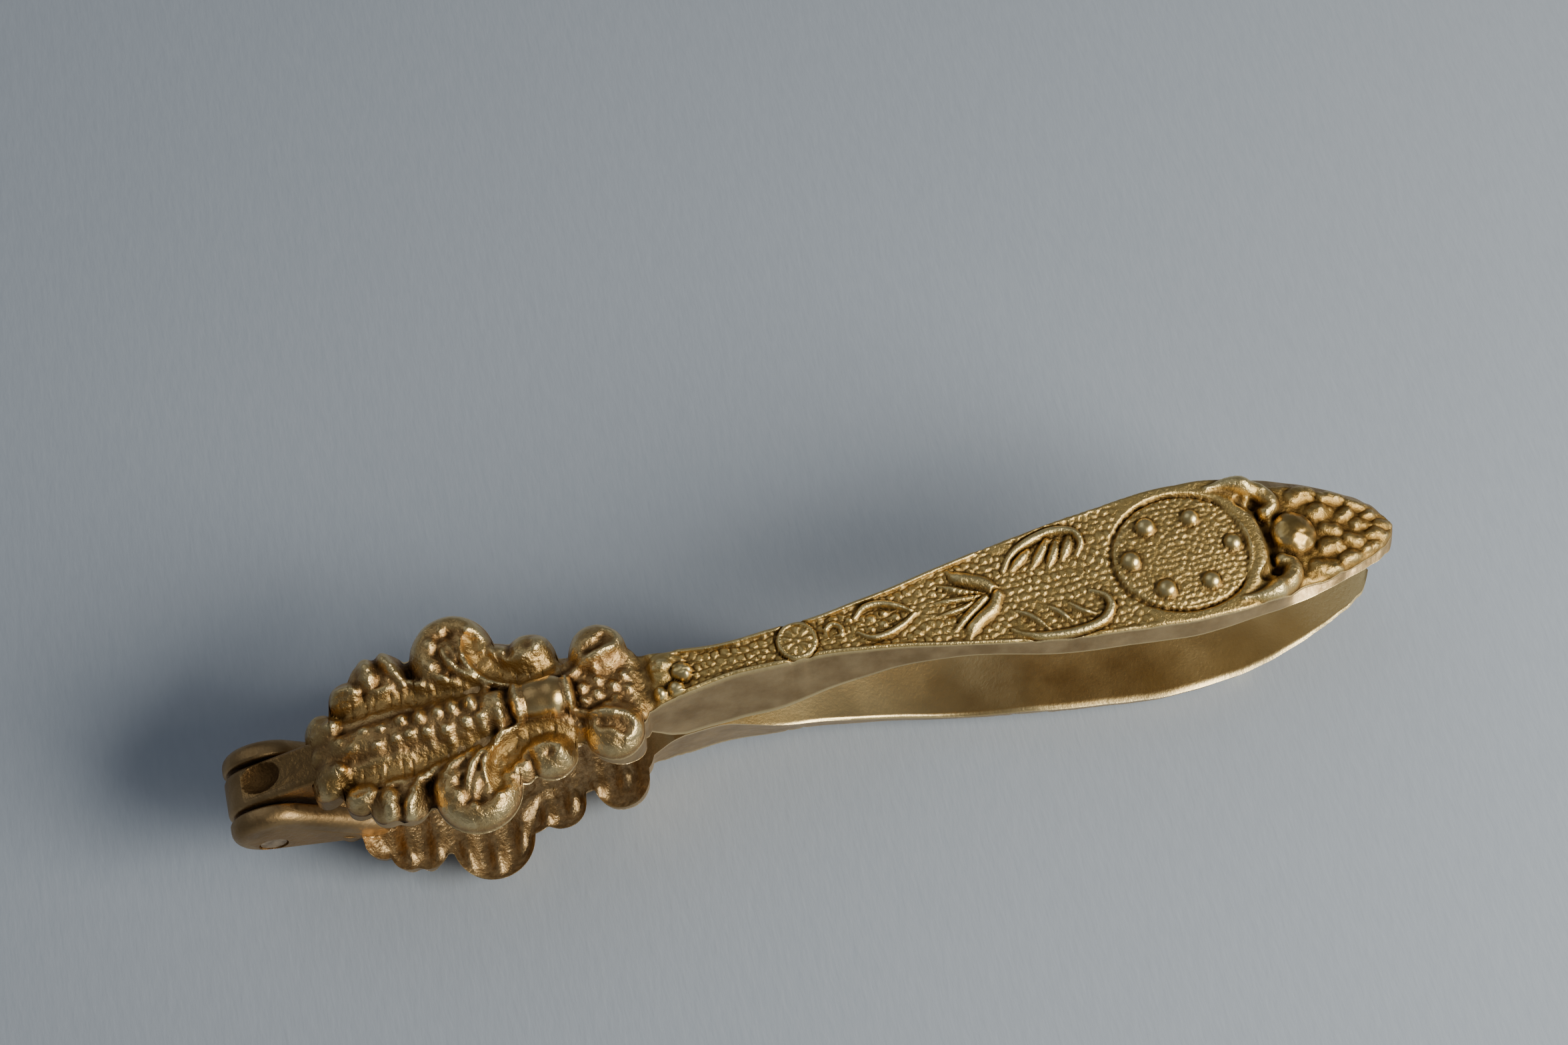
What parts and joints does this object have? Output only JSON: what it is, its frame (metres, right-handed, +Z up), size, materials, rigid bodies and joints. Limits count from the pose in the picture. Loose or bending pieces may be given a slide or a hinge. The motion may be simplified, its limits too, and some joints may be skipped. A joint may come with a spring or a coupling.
{
  "type": "nutcracker",
  "caption": "Cast brass lever nutcracker: ornamented levers joined by a hinge pin, with hollow ribbed jaws beside the hinge and leaf-shaped handles.",
  "frame": {"origin": "centre of the closed nutcracker, in the parting plane between the two levers", "axes": "closed: +X towards the handle tips, Y along the hinge pin, +Z up out of the upper lever's ornamented face"},
  "size_m": [0.1752, 0.0336, 0.0346],
  "materials": {
    "lever_brass": "cast, polished on the high points, darker in the hollows",
    "pin_brass": "drawn rod, dulled"
  },
  "bodies": {
    "lower": {"lower_lever": "lever_brass", "hinge_pin": "pin_brass"},
    "upper": {"upper_lever": "lever_brass"}
  },
  "joints": [
    {"name": "lever_hinge", "type": "hinge", "parent": "lower", "child": "upper", "pos_m": [-0.0824, 0, -0.0028], "axis": [0, -1, 0], "range_deg": [0, 75]}
  ]
}
